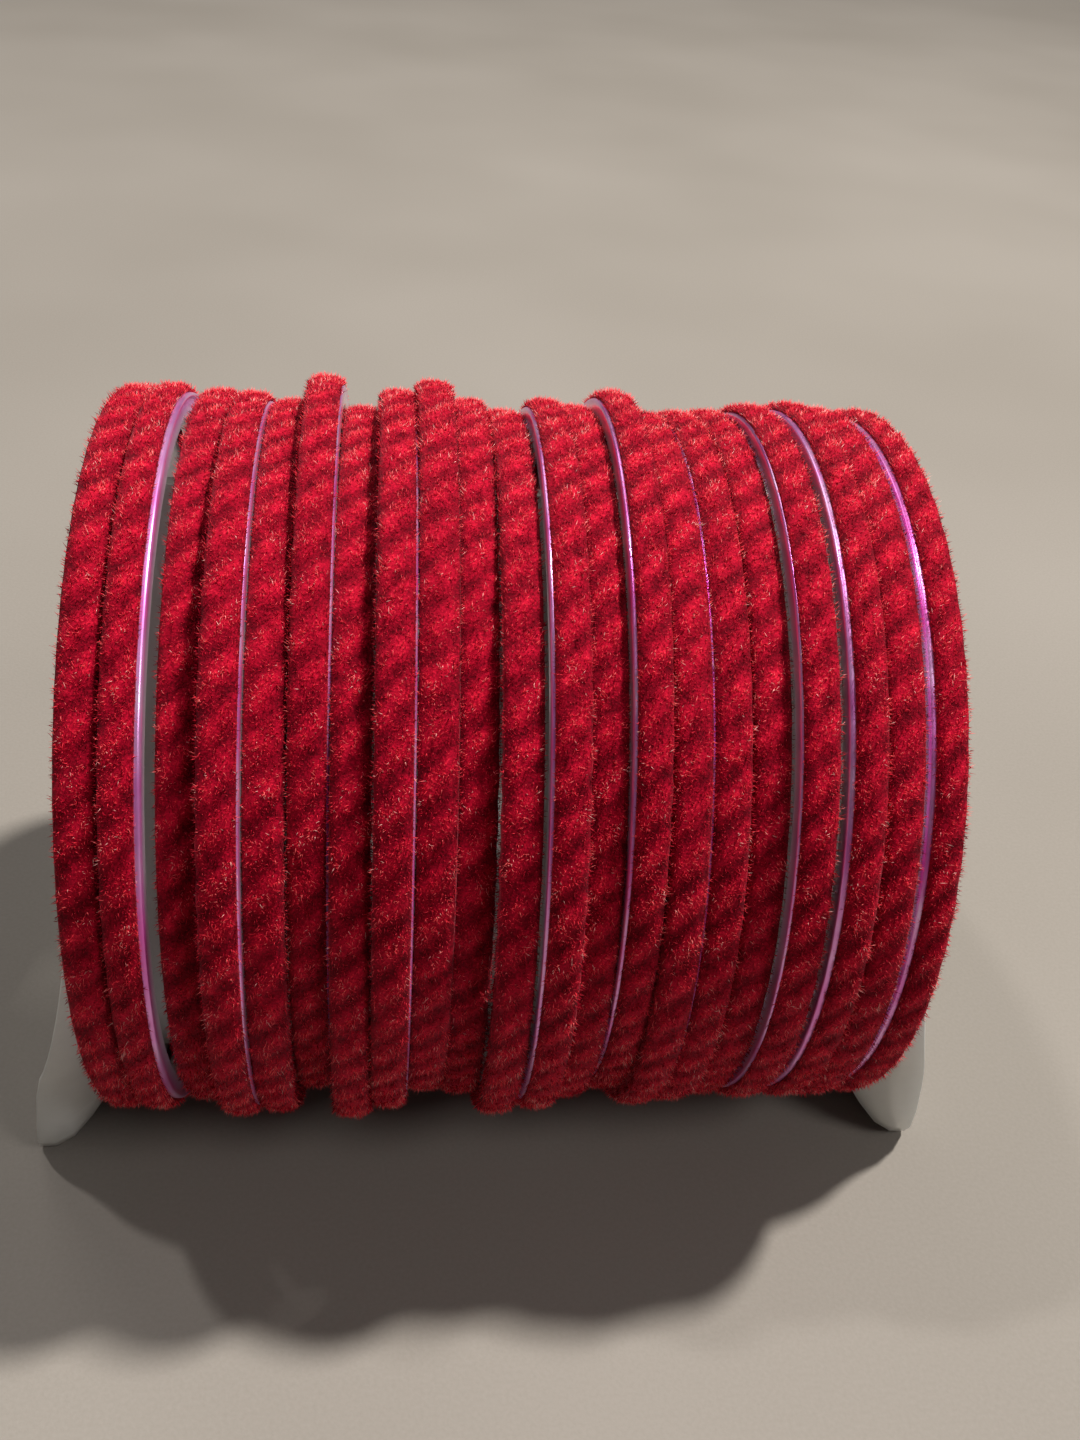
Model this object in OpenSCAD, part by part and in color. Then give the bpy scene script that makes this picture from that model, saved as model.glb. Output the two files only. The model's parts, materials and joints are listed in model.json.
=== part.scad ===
// Set of velvet bangles stacked on a white plastic holder.
// The bangles' axis is X, Z is up, and the holder's feet stand on Z = 0.

/* [Bangle ring] */
// Clear inside diameter of a bangle (size 2.6 is 2 6/16 inches)
inner_d = 60.3; // [54:0.1:66.7]
// Radial thickness of the metal ring
ring_wall = 1.9; // [1.5:0.1:2.2]
// Width of the metal ring along its axis
ring_w = 2.75; // [2:0.05:3]
// Chamfer on the metal ring's edges
ring_edge = 0.25; // [0.1:0.05:0.6]

/* [Velvet] */
// Height of the velvet over the ring's rim
pile_h = 0.65; // [0.4:0.05:0.9]
// Thickness of the velvet down the covered side of the ring
pile_side = 0.35; // [0.2:0.05:0.4]
// How far the velvet reaches down the covered side
pile_drop = 1.2; // [0.6:0.1:1.4]
// Width of bare metal beside the velvet's open edge
bare_lip = 0.15; // [0.1:0.05:0.5]

/* [Holder] */
// Radius of the rolled sheet, to the middle of its wall
tube_r = 26; // [24:0.1:26.2]
// Wall thickness of the sheet
wall = 0.7; // [0.5:0.1:0.9]
// Height of the tube's lowest line above the table
tube_lift = 6; // [5.6:0.1:6.4]
// Open slit between the sheet's two long edges, in degrees round the tube
slit = 15; // [5:1:40]
// How far the sheet reaches past the end bangles at the feet
foot_reach = 9.6; // [8:0.2:12]
// Half width of the flat foot under each end
foot_half = 19; // [14:0.5:21]
// How far each wing bulges sideways beyond the foot
wing_out = 4; // [2:0.5:6]
// Height of each wing
wing_h = 13; // [8:0.5:15]

/* [Hidden] */
$fn = 180;
// One row for each bangle, from the -X end: the gap before it, its shift in Y (towards the front is
// negative), its lift above the lowest place a bangle takes, and the side where its metal is bare
BANGLES = [
    [0.00, -0.2, 1.0, -1], [0.05, -0.8, 1.5, 1], [0.65, 1.0, 0.3, -1], [0.05, -1.5, 1.3, 1],
    [0.05, -0.3, 0.2, -1], [0.05, 0.8, 2.1, 1], [0.05, -0.9, 0.0, -1], [0.05, -1.5, 2.0, 1],
    [0.05, 0.1, 2.3, 1], [0.05, 1.6, 0.0, -1], [0.05, -0.9, 0.2, 1], [0.30, -1.6, 1.7, -1],
    [0.05, 0.9, 0.1, 1], [0.05, 0.4, 1.9, -1], [0.05, 0.0, 0.1, 1], [0.05, 0.4, 0.1, -1],
    [0.05, 1.1, 0.0, 1], [0.15, -0.4, 1.4, -1], [0.45, -0.7, 1.9, -1], [0.05, -0.1, 1.2, 1],
    [0.60, 0.5, 0.9, -1]
];
count = len(BANGLES);
// Clearance between the lowest bangle and the table
floor_gap = 0.25;
bore_r = inner_d / 2;
ring_r = bore_r + ring_wall;
pile_r = ring_r + pile_h;
bangle_w = ring_w + pile_side;
// Number of steps in the velvet's rounded crown
crown_steps = 6;
// How far the velvet's crown falls at its two edges, as a part of its height
crown_fall = 0.55;

gaps = [for (row = BANGLES) row[0]];
function sum_to(list, i) = i < 0 ? 0 : list[i] + sum_to(list, i - 1);
stack_l = count * bangle_w + sum_to(gaps, count - 1);
function bangle_x(i) = -stack_l / 2 + (i + 0.5) * bangle_w + sum_to(gaps, i);
function bare_side(i) = BANGLES[i][3];

function two_digits(i) = str(i < 10 ? "0" : "", i);
function ring_name(i) = str("ring_", two_digits(i + 1));
function velvet_name(i) = str("velvet_", two_digits(i + 1));

// ---- Bangles ----

// Puts a shape drawn round Z where bangle i is, with its bare side the right way round
module at_bangle(i) {
    translate([bangle_x(i), BANGLES[i][1], pile_r + floor_gap + BANGLES[i][2]])
        rotate([0, 90, 0])
            mirror([0, 0, bare_side(i) > 0 ? 0 : 1])
                translate([0, 0, pile_side / 2])
                    children();
}

// Section of the metal ring, in [radius, distance towards the bare side]
function ring_section(low, high) = [
    [bore_r, low + ring_edge], [bore_r + ring_edge, low], [ring_r - ring_edge, low], [ring_r, low + ring_edge],
    [ring_r, high - ring_edge], [ring_r - ring_edge, high], [bore_r + ring_edge, high], [bore_r, high - ring_edge]
];

module ring(i) {
    color([0.80, 0.45, 0.72])
        at_bangle(i)
            rotate_extrude()
                polygon(ring_section(-ring_w / 2, ring_w / 2));
}

// Height of the crown at place u, from -1 at the covered side to 1 at the open edge
function crown(u) = pile_r - pile_h * crown_fall * pow(abs(u), 3);

// Section of the velvet: its crown, its open edge, the ring's rim, and the skirt down the covered side
function velvet_section(covered, open) = concat(
    [for (k = [0 : crown_steps])
        let (u = 2 * k / crown_steps - 1)
        [crown(u), (covered + open) / 2 + u * (open - covered) / 2]],
    [[ring_r, open],
     [ring_r, -ring_w / 2 + ring_edge],
     [ring_r - ring_edge, -ring_w / 2],
     [ring_r - pile_drop, -ring_w / 2],
     [ring_r - pile_drop, covered]]
);

module velvet(i) {
    color([0.65, 0.03, 0.12])
        at_bangle(i)
            rotate_extrude()
                polygon(velvet_section(-ring_w / 2 - pile_side, ring_w / 2 - bare_lip));
}

// ---- Holder ----

// The holder is one thin sheet, rolled to a tube inside the bores. Beyond each end bangle its lower part
// flares out to a flat foot with a wing at each side. A place on the sheet is given by its row along X
// and by its turn round X, in degrees from the lowest line, where the front is negative.
front_turn = -195;
back_turn = front_turn + 360 - slit;
// Turn where the foot ends and the wing starts, and where the wing stops curving
foot_turn = 31;
wing_turn = 52;
// Turn past which the sheet no longer flares
calm_turn = 87;
// The tube's end near its top, a little inside the end bangles' faces
tube_end = stack_l / 2 - 0.6;
// Where the flare starts
flare_start = stack_l / 2 - 3;
// Turn at which the sheet's end has come halfway back from the foot's end to the tube's
end_turn = 67;
// The last part of each flare, where the foot lies flat on the table
flat_part = 0.12;
rows_per_flare = 7;
columns = 69;

function smooth(s) = let (c = min(1, max(0, s))) c * c * (3 - 2 * c);
function tube_point(turn) = [tube_r * sin(turn), tube_lift + tube_r * (1 - cos(turn))];
function wing_angle(turn) = 90 * max(0, abs(turn) - foot_turn) / (wing_turn - foot_turn);
function rim_point(turn) = [
    sign(turn) * (min(abs(turn), foot_turn) / foot_turn * foot_half + wing_out * sin(wing_angle(turn))),
    wall / 2 + wing_h * (1 - cos(wing_angle(turn)))
];
// How far the rim lies from the tube at a turn: full under the foot and wing, and fading out above them
function flare_move(turn) =
    let (held = sign(turn) * min(abs(turn), wing_turn))
    (rim_point(held) - tube_point(held)) * smooth((calm_turn - abs(turn)) / (calm_turn - wing_turn));
function sheet_yz(s, turn) = tube_point(turn) + flare_move(turn) * smooth(s / (1 - flat_part));
function sheet_end(turn) =
    tube_end + (stack_l / 2 + foot_reach - tube_end) / (1 + pow(turn / end_turn, 4));
function sheet_x(s, turn) = flare_start + s * (sheet_end(turn) - flare_start);
function sheet_normal(s, turn) =
    let (d = sheet_yz(s, turn + 0.5) - sheet_yz(s, turn - 0.5))
    [d[1], -d[0]] / norm(d);

// The share of the flare at each row, and the end that the row belongs to
row_ends = concat(
    [for (k = [rows_per_flare : -1 : 0]) [k / rows_per_flare, -1]],
    [for (k = [0 : rows_per_flare]) [k / rows_per_flare, 1]]
);
rows = len(row_ends);

// A point of the sheet's face: side is 1 for the outside and -1 for the inside
function sheet_point(row, column, side) =
    let (s = row_ends[row][0], turn = front_turn + column / columns * (back_turn - front_turn))
    let (yz = sheet_yz(s, turn) + side * wall / 2 * sheet_normal(s, turn))
    [row_ends[row][1] * sheet_x(s, turn), yz[0], yz[1]];

sheet_points = [for (side = [1, -1]) for (row = [0 : rows - 1]) for (column = [0 : columns])
    sheet_point(row, column, side)];
function index_of(side, row, column) = (side * rows + row) * (columns + 1) + column;
function two_triangles(a, b, c, d) = [[a, b, c], [a, c, d]];
function face_triangles(side) = [for (row = [0 : rows - 2]) for (k = [0 : columns - 1])
    let (a = index_of(side, row, k), b = index_of(side, row, k + 1))
    let (c = index_of(side, row + 1, k + 1), d = index_of(side, row + 1, k))
    each side == 0 ? two_triangles(a, b, c, d) : two_triangles(a, d, c, b)];
function long_edge(k, turned) = [for (row = [0 : rows - 2])
    let (a = index_of(0, row, k), b = index_of(0, row + 1, k))
    let (c = index_of(1, row + 1, k), d = index_of(1, row, k))
    each turned ? two_triangles(a, b, c, d) : two_triangles(a, d, c, b)];
function end_edge(row, turned) = [for (k = [0 : columns - 1])
    let (a = index_of(0, row, k), b = index_of(0, row, k + 1))
    let (c = index_of(1, row, k + 1), d = index_of(1, row, k))
    each turned ? two_triangles(a, b, c, d) : two_triangles(a, d, c, b)];

module holder() {
    color([0.93, 0.94, 0.92])
        polyhedron(
            points = sheet_points,
            faces = concat(
                face_triangles(0), face_triangles(1),
                long_edge(0, true), long_edge(columns, false),
                end_edge(0, false), end_edge(rows - 1, true)
            ),
            convexity = 6
        );
}

holder();
for (i = [0 : count - 1]) {
    ring(i);
    velvet(i);
}
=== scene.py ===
"""Set of velvet bangles on a white holder.

Builds the velvet coats and their pile, the metal rings, the holder, the table, lights and camera.
"""
import json
import math

import bpy
import numpy as np
from mathutils import Matrix, Vector

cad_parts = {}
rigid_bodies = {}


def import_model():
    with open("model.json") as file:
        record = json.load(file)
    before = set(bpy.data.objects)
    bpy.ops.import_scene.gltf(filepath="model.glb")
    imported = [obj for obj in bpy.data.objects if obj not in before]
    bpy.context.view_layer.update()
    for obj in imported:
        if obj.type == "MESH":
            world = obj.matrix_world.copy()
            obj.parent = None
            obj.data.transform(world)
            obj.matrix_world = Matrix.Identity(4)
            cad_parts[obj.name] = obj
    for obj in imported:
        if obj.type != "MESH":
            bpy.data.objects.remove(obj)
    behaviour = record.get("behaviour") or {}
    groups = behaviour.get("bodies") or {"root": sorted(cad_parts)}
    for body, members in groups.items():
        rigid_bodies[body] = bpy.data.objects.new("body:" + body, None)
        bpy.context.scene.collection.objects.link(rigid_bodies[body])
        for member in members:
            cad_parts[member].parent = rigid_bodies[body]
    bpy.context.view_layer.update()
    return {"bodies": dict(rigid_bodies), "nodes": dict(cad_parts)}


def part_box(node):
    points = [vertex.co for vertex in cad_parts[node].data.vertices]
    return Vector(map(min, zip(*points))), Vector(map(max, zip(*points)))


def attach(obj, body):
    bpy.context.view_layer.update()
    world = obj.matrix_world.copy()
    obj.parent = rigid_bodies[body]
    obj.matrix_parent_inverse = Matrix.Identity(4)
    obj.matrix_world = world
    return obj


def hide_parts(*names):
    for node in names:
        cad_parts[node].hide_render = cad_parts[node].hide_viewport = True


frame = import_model()

MM = 0.001
BANGLES = ["%02d" % (i + 1) for i in range(len(frame["bodies"]) - 1)]


# ---- Small helpers ----

def deselect():
    if bpy.context.object and bpy.context.object.mode != "OBJECT":
        bpy.ops.object.mode_set(mode="OBJECT")
    bpy.ops.object.select_all(action="DESELECT")


def pick(piece):
    """Makes one object the selected and active one."""
    deselect()
    piece.select_set(True)
    bpy.context.view_layer.objects.active = piece


def apply_modifiers(piece):
    pick(piece)
    for modifier in list(piece.modifiers):
        bpy.ops.object.modifier_apply(modifier=modifier.name)


# ---- Shader arithmetic ----

class Signal:
    """A socket of a material's nodes. Arithmetic on it adds Math nodes."""

    def __init__(self, tree, socket):
        self.tree = tree
        self.socket = socket

    def math(self, operation, *values, clamp=False):
        node = self.tree.nodes.new("ShaderNodeMath")
        node.operation = operation
        node.use_clamp = clamp
        for place, value in enumerate(values):
            connect(self.tree, node.inputs[place], value)
        return Signal(self.tree, node.outputs[0])

    def __add__(self, other):
        return self.math("ADD", self, other)

    __radd__ = __add__

    def __mul__(self, other):
        return self.math("MULTIPLY", self, other)

    __rmul__ = __mul__

    def __sub__(self, other):
        return self.math("SUBTRACT", self, other)

    def __rsub__(self, other):
        return self.math("SUBTRACT", other, self)

    def clamped(self):
        return self.math("ADD", self, 0.0, clamp=True)


def connect(tree, socket, value):
    if isinstance(value, Signal):
        tree.links.new(value.socket, socket)
    else:
        socket.default_value = value


class Finish:
    """A material on one Principled shader, and the nodes that feed it."""

    def __init__(self, name):
        self.material = bpy.data.materials.new(name)
        self.material.use_nodes = True
        self.tree = self.material.node_tree
        self.shader = self.tree.nodes["Principled BSDF"]

    def node(self, kind, output=0, settings=None, **values):
        """Adds a node: its settings first, then the values or links of its sockets."""
        made = self.tree.nodes.new(kind)
        for key, value in (settings or {}).items():
            setattr(made, key, value)
        for key, value in values.items():
            connect(self.tree, made.inputs[key.replace("_", " ")], value)
        return Signal(self.tree, made.outputs[output])

    def place(self):
        return self.node("ShaderNodeTexCoord", "Object")

    def attribute(self, name):
        return self.node("ShaderNodeAttribute", "Fac", {"attribute_name": name})

    def noise(self, scale, detail=2.0, roughness=0.5):
        return self.node("ShaderNodeTexNoise", "Fac", Vector=self.place(), Scale=scale,
                         Detail=detail, Roughness=roughness)

    def ramp(self, factor, stops):
        made = self.tree.nodes.new("ShaderNodeValToRGB")
        elements = made.color_ramp.elements
        while len(elements) < len(stops):
            elements.new(0.5)
        for element, (position, colour) in zip(elements, stops):
            element.position = position
            element.color = (*colour, 1.0)
        connect(self.tree, made.inputs["Fac"], factor)
        return Signal(self.tree, made.outputs["Color"])

    def blend(self, factor, first, second, kind="MIX"):
        made = self.tree.nodes.new("ShaderNodeMix")
        made.data_type = "RGBA"
        made.blend_type = kind
        connect(self.tree, made.inputs[0], factor)
        for socket, value in ((made.inputs[6], first), (made.inputs[7], second)):
            connect(self.tree, socket, value if isinstance(value, Signal) else (*value, 1.0))
        return Signal(self.tree, made.outputs[2])

    def bump(self, height, distance, strength=1.0):
        return self.node("ShaderNodeBump", "Normal", Height=height, Distance=distance,
                         Strength=strength)

    def set(self, **values):
        for key, value in values.items():
            connect(self.tree, self.shader.inputs[key.replace("_", " ")], value)
        return self.material


# ---- Materials ----

def velvet_ground():
    """The woven ground and roots of the pile: deep red in the hollows as painted shade, brighter on
    the ridges as a painted highlight, with random mottle and speckle.
    """
    finish = Finish("velvet_ground")
    ridge = finish.attribute("ridge")
    mottle = finish.noise(900.0, 3.0)
    speckle = finish.noise(5200.0, 2.0, 0.7)
    # The ridge term paints shade into the grooves and a highlight onto the crests; mottle and
    # speckle are random tone.
    ridge_shade_and_tone = (ridge * 0.42 + (mottle - 0.5) * 1.1 + (speckle - 0.5) * 1.3 + 0.2).clamped()
    colour = finish.ramp(ridge_shade_and_tone, [
        (0.0, (0.09, 0.0003, 0.005)),
        (0.35, (0.24, 0.0008, 0.012)),
        (0.7, (0.46, 0.003, 0.024)),
        (1.0, (0.78, 0.018, 0.05)),
    ])
    return finish.set(
        Base_Color=colour,
        Roughness=(0.82 - speckle * 0.12).clamped(),
        Specular_IOR_Level=0.12,
        Specular_Tint=(1.0, 0.2, 0.25, 1.0),
        Sheen_Weight=0.2,
        Sheen_Roughness=0.5,
        Sheen_Tint=(1.0, 0.25, 0.3, 1.0),
        Normal=finish.bump(speckle + mottle * 0.5, 0.12 * MM, 0.7),
    )


def pile_fibre(name, colour, roughness, gloss):
    """One shade of the pile's fibres; the shades are shaded, lit and glinting copies of one red,
    painted light.
    """
    finish = Finish(name)
    return finish.set(
        Base_Color=(*colour, 1.0),
        Roughness=roughness,
        Specular_IOR_Level=gloss,
        Specular_Tint=(1.0, 0.45, 0.42, 1.0),
    )


def lacquered_metal():
    """Polished aluminium with faint turning lines; its lacquer thins out down the side walls."""
    finish = Finish("lacquered_metal")
    place = finish.place()
    stretched = finish.node("ShaderNodeMapping", Vector=place, Scale=(9000.0, 260.0, 260.0))
    lines = finish.node("ShaderNodeTexNoise", "Fac", Vector=stretched, Scale=1.0, Detail=2.0)
    cloud = finish.noise(160.0, 3.0)
    lacquer = finish.ramp(cloud, [
        (0.3, (0.78, 0.12, 0.55)),
        (0.52, (0.84, 0.30, 0.74)),
        (0.72, (0.90, 0.55, 0.86)),
    ])
    colour = finish.blend(finish.attribute("wall"), lacquer, (0.92, 0.84, 0.89))
    return finish.set(
        Base_Color=colour,
        Metallic=0.72,
        Roughness=(0.22 + lines * 0.2).clamped(),
        Coat_Weight=0.5,
        Coat_Roughness=0.06,
        Normal=finish.bump(lines, 0.01 * MM, 0.5),
    )


def holder_plastic():
    """Thin white sheet plastic, satin, with faint flow marks and scuffs."""
    finish = Finish("holder_plastic")
    flow = finish.noise(55.0, 3.0)
    scuff = finish.noise(700.0, 4.0, 0.65)
    colour = finish.ramp(flow * 0.7 + scuff * 0.3, [
        (0.3, (0.60, 0.60, 0.585)),
        (0.7, (0.71, 0.71, 0.695)),
    ])
    return finish.set(
        Base_Color=colour,
        Roughness=(0.22 + scuff * 0.2).clamped(),
        Coat_Weight=0.35,
        Coat_Roughness=0.15,
        Subsurface_Weight=0.12,
        Subsurface_Radius=(2.0 * MM, 2.0 * MM, 1.8 * MM),
        Subsurface_Scale=1.0,
        Normal=finish.bump(flow + scuff * 0.2, 0.05 * MM, 0.4),
    )


def table_cloth():
    """Pale cloth on the table: plain colour with a fine even grain."""
    finish = Finish("table_cloth")
    grain = finish.noise(2600.0, 2.0)
    broad = finish.noise(9.0, 2.0)
    colour = finish.ramp(grain * 0.3 + broad * 0.7, [
        (0.35, (0.256, 0.231, 0.202)),
        (0.65, (0.300, 0.272, 0.242)),
    ])
    return finish.set(Base_Color=colour, Roughness=0.92, Specular_IOR_Level=0.2,
                      Normal=finish.bump(grain, 0.05 * MM, 0.35))


# ---- Bangles ----

RIDGES = 54
STEPS_PER_RIDGE = 8
RIDGE_HEIGHT = 0.19 * MM
RIDGE_SLANT = 0.75
SKIRT = 1.65 * MM
# Thickness of the velvet's skirt, measured inwards from its covered side
SKIRT_THICK = 0.28 * MM
FIBRES = 16000
# How deep the fibres' roots sit in the coat
ROOT_DEPTH = 0.05 * MM
# The lowest fibres are pressed flat by the table, to this height
PRESSED_FLAT = 0.02 * MM
RING_WALL = 1.9 * MM
RING_CORNER = 0.3 * MM
# Depth below the corner over which the lacquer thins out down the ring's wall
LACQUER_FADE = 1.2 * MM
# The pile is brushed over the bare rim, except on these bangles: there it stops so many mm short
# of its CAD edge
WORN_BACK = {"02": 0.30, "04": 0.0, "06": 0.0, "08": 0.0, "12": 0.12, "14": 0.16, "16": 0.0,
             "18": 0.0, "19": 0.30, "21": 0.32}
# Painted light: shaded and lit copies of one red fibre, deep to light, and pile_glint is a painted
# glint
SHADES = (("pile_deep", (0.21, 0.0005, 0.011), 0.75, 0.1),
          ("pile_mid", (0.60, 0.006, 0.030), 0.6, 0.3),
          ("pile_bright", (0.95, 0.040, 0.068), 0.5, 0.5),
          ("pile_light", (1.0, 0.15, 0.15), 0.40, 0.8),
          ("pile_glint", (1.0, 0.50, 0.46), 0.26, 1.0))


class Bangle:
    """Sizes of one bangle, read from its two CAD nodes."""

    def __init__(self, number):
        self.number = number
        velvet_low, velvet_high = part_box("velvet_" + number)
        ring_low, ring_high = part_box("ring_" + number)
        self.centre = (velvet_low + velvet_high) / 2
        self.width = velvet_high.x - velvet_low.x
        self.pile_radius = (velvet_high.z - velvet_low.z) / 2
        self.ring_radius = (ring_high.z - ring_low.z) / 2
        self.ring_middle = (ring_low.x + ring_high.x) / 2
        self.ring_width = ring_high.x - ring_low.x
        self.pile_depth = self.pile_radius - self.ring_radius
        # The bare side is +1 where the velvet reaches past the ring's low side
        self.bare = 1.0 if velvet_low.x < ring_low.x else -1.0
        self.body = "bangle_" + number
        rim = ring_high.x - velvet_high.x if self.bare > 0 else velvet_low.x - ring_low.x
        self.brushed_over = number not in WORN_BACK
        # How far the band reaches past its CAD edge, over the rim or back from it
        self.reach = rim if self.brushed_over else -WORN_BACK[number] * MM


def spun_wheel(name, section, turns):
    """A closed wheel about X at the origin, spun from a closed outline of (x, radius) points."""
    deselect()
    bpy.ops.mesh.primitive_circle_add(vertices=len(section), radius=1.0 * MM, fill_type="NOTHING")
    wheel = bpy.context.object
    wheel.name = name
    for vertex, (x, radius) in zip(wheel.data.vertices, section):
        vertex.co = (x, 0.0, radius)
    bpy.ops.object.mode_set(mode="EDIT")
    bpy.ops.mesh.select_all(action="SELECT")
    bpy.ops.mesh.spin(steps=turns, angle=2 * math.pi, center=(0, 0, 0), axis=(1, 0, 0))
    bpy.ops.mesh.select_all(action="SELECT")
    bpy.ops.mesh.remove_doubles(threshold=0.002 * MM)
    bpy.ops.mesh.normals_make_consistent(inside=False)
    bpy.ops.object.mode_set(mode="OBJECT")
    bpy.ops.object.shade_smooth()
    return wheel


def copy_of(pattern, name):
    """A copy of a piece with its own mesh."""
    piece = pattern.copy()
    piece.data = pattern.data.copy()
    piece.name = name
    bpy.context.collection.objects.link(piece)
    return piece


def points_of(piece):
    points = np.empty(len(piece.data.vertices) * 3, np.float32)
    piece.data.vertices.foreach_get("co", points)
    return points.reshape(-1, 3).astype(float)


def set_points(piece, points):
    piece.data.vertices.foreach_set("co", points.reshape(-1).astype(np.float32))
    piece.data.update()


def face_outwards(piece):
    pick(piece)
    bpy.ops.object.mode_set(mode="EDIT")
    bpy.ops.mesh.select_all(action="SELECT")
    bpy.ops.mesh.normals_make_consistent(inside=False)
    bpy.ops.object.mode_set(mode="OBJECT")


def ridge_height(angle, across, phase):
    """Height of the slanted ridges, from 0 in a groove to 1 on a crest.

    across runs from 0 at the covered side to 1 at the bare side.
    """
    wave = angle * RIDGES + 2 * math.pi * (across * RIDGE_SLANT + phase)
    return 1.0 - (0.5 + 0.5 * np.cos(wave)) ** 1.4


def crown(u, depth):
    """Height of the pile over the ring. u runs from 0, the covered side, to 1, the bare side."""
    return depth * (1.0 - 0.78 * np.abs(2 * u - 1) ** 3.5)


def coat_outline(bangle):
    """Outline of the velvet band, covered side at low x: skirt, crown, bare edge, underside."""
    low, high = -bangle.width / 2, bangle.width / 2
    foot = bangle.ring_radius - SKIRT
    outline = [(low + 0.05 * bangle.width, foot)]
    outline += [(low, bangle.ring_radius - SKIRT * k) for k in (0.75, 0.4, 0.05)]
    steps = 13
    for k in range(steps):
        u = (k + 0.5) / steps
        outline.append((low + bangle.width * u, bangle.ring_radius + crown(u, bangle.pile_depth)))
    under = bangle.ring_radius - 0.02 * MM
    outline += [(high, bangle.ring_radius + 0.12 * MM), (high - 0.1 * MM, under)]
    outline += [(low + SKIRT_THICK, under), (low + SKIRT_THICK, foot)]
    return outline


def velvet_coat(bangle, pattern, phase):
    """One bangle's velvet band: a copy of the plain band with slanted ridges worked into it."""
    coat = copy_of(pattern, "velvet_coat_" + bangle.number)
    points = points_of(coat)
    across = points[:, 0] / bangle.width + 0.5
    angle = np.arctan2(points[:, 2], points[:, 1])
    radius = np.hypot(points[:, 1], points[:, 2])
    ridge = ridge_height(angle, across * bangle.bare, phase)
    raised = np.clip((radius - bangle.ring_radius) / bangle.pile_depth, 0.0, 1.0)
    on_skirt = (across < 0.02) & (radius < bangle.ring_radius)
    dip = (1.0 - ridge) * RIDGE_HEIGHT * raised ** 0.6
    x = points[:, 0] + np.where(on_skirt, (1.0 - ridge) * RIDGE_HEIGHT * 0.4, 0.0)
    x = x + bangle.reach * np.clip(2 * across - 1, 0.0, 1.0)
    radius = radius - dip
    set_points(coat, np.stack([
        bangle.centre.x + x * bangle.bare,
        bangle.centre.y + radius * np.cos(angle),
        bangle.centre.z + radius * np.sin(angle),
    ], axis=-1))
    if bangle.bare < 0:
        face_outwards(coat)
    # The ridge height, which the ground reads to paint shade into the grooves and a highlight onto
    # the crests
    layer = coat.data.attributes.new("ridge", "FLOAT", "POINT")
    layer.data.foreach_set("value", (ridge * np.maximum(raised, on_skirt * 0.5)).astype(np.float32))
    return coat


def unit(vectors):
    return vectors / np.linalg.norm(vectors, axis=1)[:, None]


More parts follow.
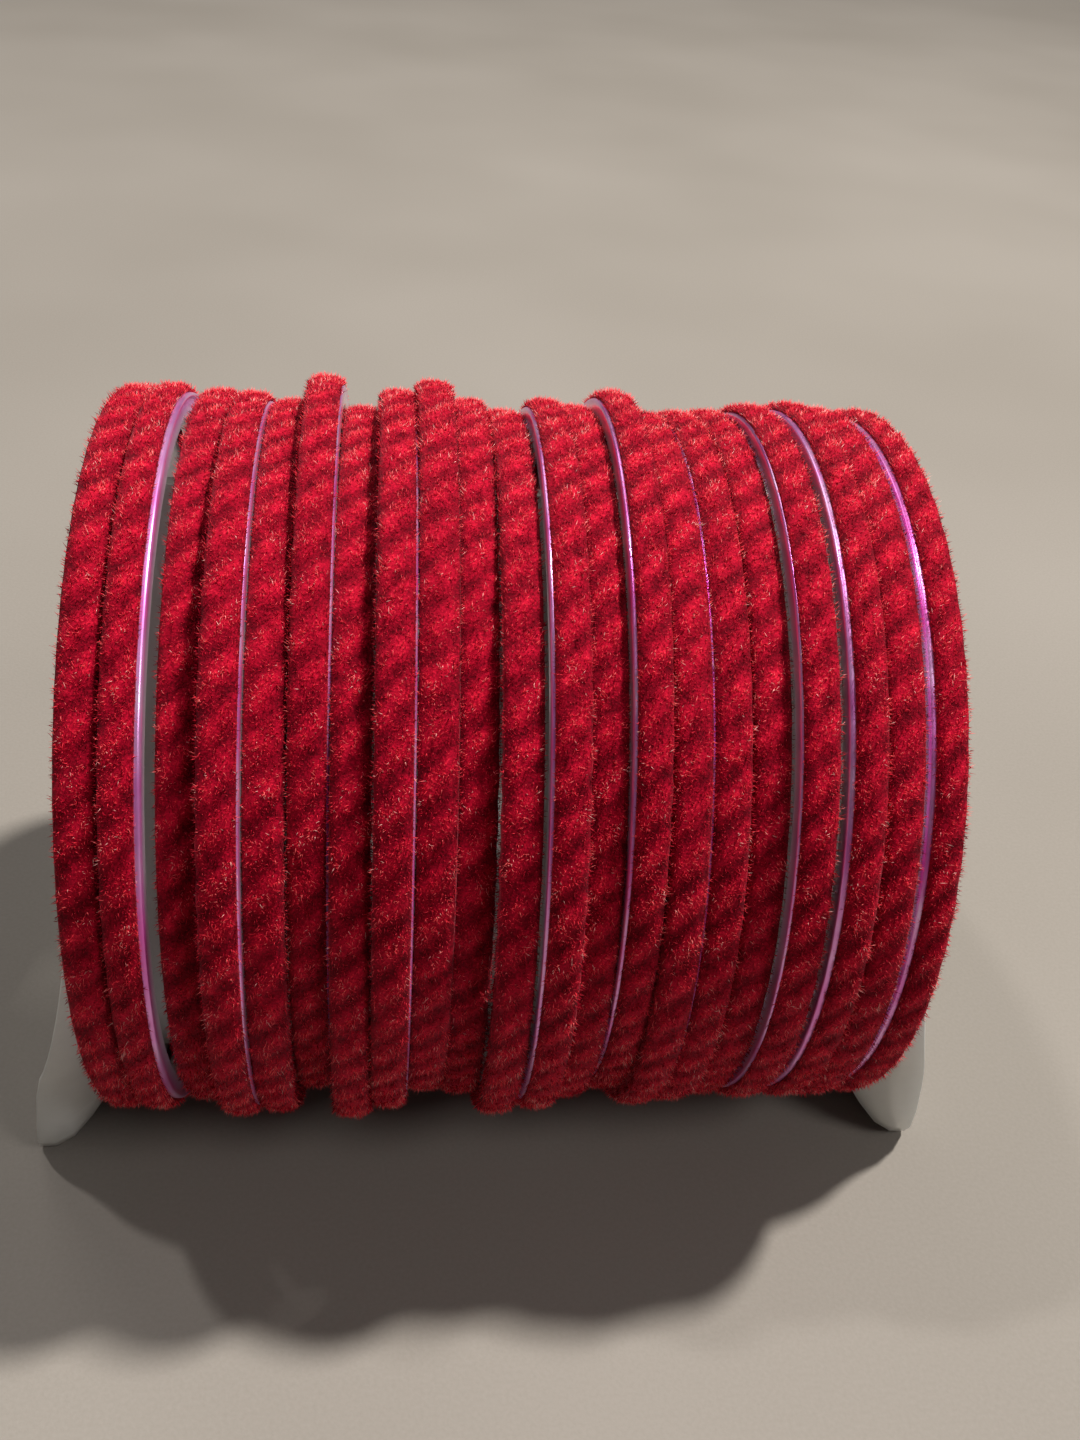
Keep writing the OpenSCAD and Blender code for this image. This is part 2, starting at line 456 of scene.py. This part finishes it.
def pile(bangle, random, phase, finishes):
    """The pile: short closed fibres that stand on the coat, lean and fan out at its edges."""
    count = FIBRES
    angle = random.random(count) * 2 * math.pi
    across = random.random(count) * 1.2 - 0.16
    on_skirt = across < 0.0
    on_edge = across > 1.0
    u = np.clip(across, 0.0, 1.0)
    ridge = ridge_height(angle, u * bangle.bare, phase)
    edge_drop = random.random(count)
    radius = (bangle.ring_radius + crown(u, bangle.pile_depth) - (1.0 - ridge) * RIDGE_HEIGHT
              - ROOT_DEPTH)
    radius = np.where(on_skirt, bangle.ring_radius + (0.25 - 1.5 * edge_drop) * MM, radius)
    radius = np.where(on_edge, bangle.ring_radius + (0.1 + 0.2 * edge_drop) * MM, radius)
    x = bangle.bare * (bangle.width * (u - 0.5) + bangle.reach * np.clip(2 * u - 1, 0.0, 1.0))
    flat = np.zeros(count)
    out = np.stack([flat, np.cos(angle), np.sin(angle)], axis=-1)
    round_it = np.stack([flat, -np.sin(angle), np.cos(angle)], axis=-1)
    to_bare = np.stack([flat + bangle.bare, flat, flat], axis=-1)
    root = np.stack([x, radius * np.cos(angle), radius * np.sin(angle)], axis=-1)
    tilt = (2 * u - 1) ** 3 * 0.9
    # Where the pile is brushed over, its edge fibres bend over the rim; elsewhere they lean off it
    tilt = np.where(on_skirt, -1.8, np.where(on_edge, 1.0 if bangle.brushed_over else -0.5, tilt))
    lean = out + to_bare * (tilt + random.normal(0.0, 0.5, count))[:, None]
    lean = unit(lean + round_it * random.normal(-0.1, 0.55, count)[:, None])
    length = (0.30 + 0.42 * random.random(count) ** 1.5) * MM
    edge_length = 0.8 if bangle.brushed_over else 0.5
    share = np.where(on_skirt, 0.65, np.where(on_edge, edge_length, 1.0))
    length = length * share * (0.8 + 0.2 * ridge)
    tip = root + lean * length[:, None]
    thick = (0.024 + 0.020 * random.random(count)) * MM
    first = unit(np.cross(lean, random.normal(0.0, 1.0, (count, 3))))
    second = np.cross(lean, first)
    corners = [root + (first * math.cos(a) + second * math.sin(a)) * thick[:, None]
               for a in (0.0, 2 * math.pi / 3, 4 * math.pi / 3)]
    points = np.stack(corners + [tip], axis=1) + np.array(bangle.centre)
    points[:, :, 2] = np.maximum(points[:, :, 2], PRESSED_FLAT)
    start = np.arange(count)[:, None, None] * 4
    faces = np.array([[0, 1, 3], [1, 2, 3], [2, 0, 3], [0, 2, 1]])[None] + start
    mesh = bpy.data.meshes.new("pile_" + bangle.number)
    mesh.vertices.add(count * 4)
    mesh.vertices.foreach_set("co", points.reshape(-1).astype(np.float32))
    mesh.loops.add(count * 12)
    mesh.loops.foreach_set("vertex_index", faces.reshape(-1).astype(np.int32))
    mesh.polygons.add(count * 4)
    mesh.polygons.foreach_set("loop_start", np.arange(count * 4, dtype=np.int32) * 3)
    for finish in finishes:
        mesh.materials.append(finish)
    # Painted light: crests get lighter fibre shades than grooves, in loose patches
    patch = sum(np.sin(angle * n + across * 5.0 + random.random() * 6.3) for n in (9, 23, 41)) / 3
    lightness = 0.37 * ridge + 0.24 * patch + random.normal(0.36, 0.24, count)
    # Painted shade: fibres on the skirt and the edge, between neighbouring bangles, get darker
    # shades
    lightness = lightness - np.where(on_skirt | on_edge, 0.3, 0.0)
    shade = np.searchsorted([0.34, 0.64, 0.90, 1.12], lightness)
    mesh.polygons.foreach_set("material_index", np.repeat(shade, 4).astype(np.int32))
    mesh.update(calc_edges=True)
    mesh.validate()
    piece = bpy.data.objects.new("pile_" + bangle.number, mesh)
    bpy.context.collection.objects.link(piece)
    return piece


def ring_outline(bangle):
    """Outline of the metal ring's section, with rounded corners."""
    half = bangle.ring_width / 2
    bore = bangle.ring_radius - RING_WALL
    mean, tall = (bangle.ring_radius + bore) / 2, (bangle.ring_radius - bore) / 2
    outline = []
    for turn, (side, face) in enumerate([(1, 1), (1, -1), (-1, -1), (-1, 1)]):
        for step in range(5):
            a = math.pi / 2 - (turn + step / 4) * math.pi / 2
            outline.append((side * (half - RING_CORNER) + RING_CORNER * math.cos(a),
                            mean + face * (tall - RING_CORNER) + RING_CORNER * math.sin(a)))
        if side == face:
            outline += [(side * half, mean + face * tall * level) for level in (0.4, 0.0, -0.4)]
    return outline


def mark_walls(ring, bangle):
    """Writes how far a point lies down the side wall: 0 near the outer corner, 1 near the bore."""
    depth = bangle.ring_radius - np.hypot(points_of(ring)[:, 1], points_of(ring)[:, 2])
    layer = ring.data.attributes.new("wall", "FLOAT", "POINT")
    share = np.clip((depth - RING_CORNER) / LACQUER_FADE, 0.0, 1.0)
    layer.data.foreach_set("value", share.astype(np.float32))


def metal_ring(bangle, pattern):
    ring = copy_of(pattern, "metal_ring_" + bangle.number)
    place = np.array([bangle.ring_middle, bangle.centre.y, bangle.centre.z])
    set_points(ring, points_of(ring) + place)
    return ring


def dress_bangles():
    first = Bangle(BANGLES[0])
    plain_coat = spun_wheel("plain_coat", coat_outline(first), RIDGES * STEPS_PER_RIDGE)
    plain_ring = spun_wheel("plain_ring", ring_outline(first), 200)
    mark_walls(plain_ring, first)
    plain_coat.data.materials.append(velvet_ground())
    plain_ring.data.materials.append(lacquered_metal())
    fibres = [pile_fibre(*shade) for shade in SHADES]
    for place, number in enumerate(BANGLES):
        bangle = Bangle(number)
        random = np.random.default_rng(100 + place)
        phase = random.random()
        coat = velvet_coat(bangle, plain_coat, phase)
        nap = pile(bangle, random, phase, fibres)
        ring = metal_ring(bangle, plain_ring)
        for piece in (coat, nap, ring):
            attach(piece, bangle.body)
        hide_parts("velvet_" + number)
        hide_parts("ring_" + number)
    for pattern in (plain_coat, plain_ring):
        bpy.data.objects.remove(pattern)


# ---- Holder ----

def dress_holder():
    """The thin holder: the CAD sheet, joined up, smoothed and with softened rims."""
    holder = copy_of(frame["nodes"]["holder"], "holder_sheet")
    holder.data.materials.clear()
    pick(holder)
    bpy.ops.object.mode_set(mode="EDIT")
    bpy.ops.mesh.select_all(action="SELECT")
    bpy.ops.mesh.remove_doubles(threshold=0.001 * MM)
    bpy.ops.mesh.tris_convert_to_quads()
    bpy.ops.object.mode_set(mode="OBJECT")
    bevel = holder.modifiers.new("rim", "BEVEL")
    bevel.width = 0.18 * MM
    bevel.segments = 2
    bevel.limit_method = "ANGLE"
    bevel.angle_limit = math.radians(50)
    apply_modifiers(holder)
    pick(holder)
    bpy.ops.object.shade_smooth_by_angle(angle=math.radians(40))
    holder.data.materials.append(holder_plastic())
    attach(holder, "holder")
    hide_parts("holder")


# ---- Table, light and camera ----

# All the lamps point at the middle of the stack
LIT_PLACE = (0, 0, 0.03)


def set_table():
    bpy.ops.mesh.primitive_plane_add(size=8.0, location=(0, 2.5, 0))
    table = bpy.context.object
    table.name = "table"
    bpy.ops.object.transform_apply(location=True, rotation=False, scale=False)
    table.data.materials.append(table_cloth())


def area_light(name, place, target, size, power, colour):
    light = bpy.data.lights.new(name, "AREA")
    light.shape = "DISK"
    light.size = size
    light.energy = power
    light.color = colour
    lamp = bpy.data.objects.new(name, light)
    lamp.location = place
    lamp.rotation_mode = "QUATERNION"
    lamp.rotation_quaternion = (Vector(target) - Vector(place)).to_track_quat("-Z", "Y")
    bpy.context.collection.objects.link(lamp)


def set_lights():
    area_light("key", (0.42, 0.14, 0.95), LIT_PLACE, 0.09, 13.8, (1.0, 0.97, 0.92))
    area_light("left", (-0.35, 0.16, 0.95), LIT_PLACE, 0.06, 2.4, (1.0, 0.98, 0.97))
    area_light("front", (0.55, -0.55, 0.85), LIT_PLACE, 0.3, 2.7, (1.0, 0.98, 0.96))
    area_light("back", (-0.35, 0.7, 0.8), LIT_PLACE, 0.5, 1.5, (1.0, 0.98, 0.95))
    world = bpy.data.worlds.new("room")
    world.use_nodes = True
    world.node_tree.nodes["Background"].inputs["Color"].default_value = (0.80, 0.79, 0.78, 1.0)
    world.node_tree.nodes["Background"].inputs["Strength"].default_value = 0.09
    bpy.context.scene.world = world
    bpy.context.scene.view_settings.view_transform = "Standard"


def set_camera():
    """A close view from the front and above, turned a little towards the right end."""
    elevation = math.radians(38.0)
    turn = math.radians(6.2)
    tip = math.radians(1.1)
    roll = math.radians(-0.7)
    distance = 135.4 * MM
    stand = Vector((-10.4 * MM, 0.0, 33.9 * MM))
    across = Vector((1.0, 0.0, 0.0))
    back = Vector((0.0, -math.cos(elevation), math.sin(elevation)))
    up = Vector((0.0, math.sin(elevation), math.cos(elevation)))
    place = stand + back * distance
    right = across * math.cos(turn) + back * math.sin(turn)
    ahead = across * math.sin(turn) - back * math.cos(turn)
    ahead, up = (ahead * math.cos(tip) + up * math.sin(tip),
                 up * math.cos(tip) - ahead * math.sin(tip))
    right, up = (right * math.cos(roll) - up * math.sin(roll),
                 right * math.sin(roll) + up * math.cos(roll))
    data = bpy.data.cameras.new("camera")
    data.lens = 35.2
    data.sensor_width = 36.0
    data.clip_start = 0.005
    data.clip_end = 20.0
    camera = bpy.data.objects.new("camera", data)
    camera.matrix_world = Matrix((
        (right.x, up.x, -ahead.x, place.x),
        (right.y, up.y, -ahead.y, place.y),
        (right.z, up.z, -ahead.z, place.z),
        (0.0, 0.0, 0.0, 1.0),
    ))
    bpy.context.collection.objects.link(camera)
    bpy.context.scene.camera = camera


set_camera()
set_table()
set_lights()
dress_holder()
dress_bangles()
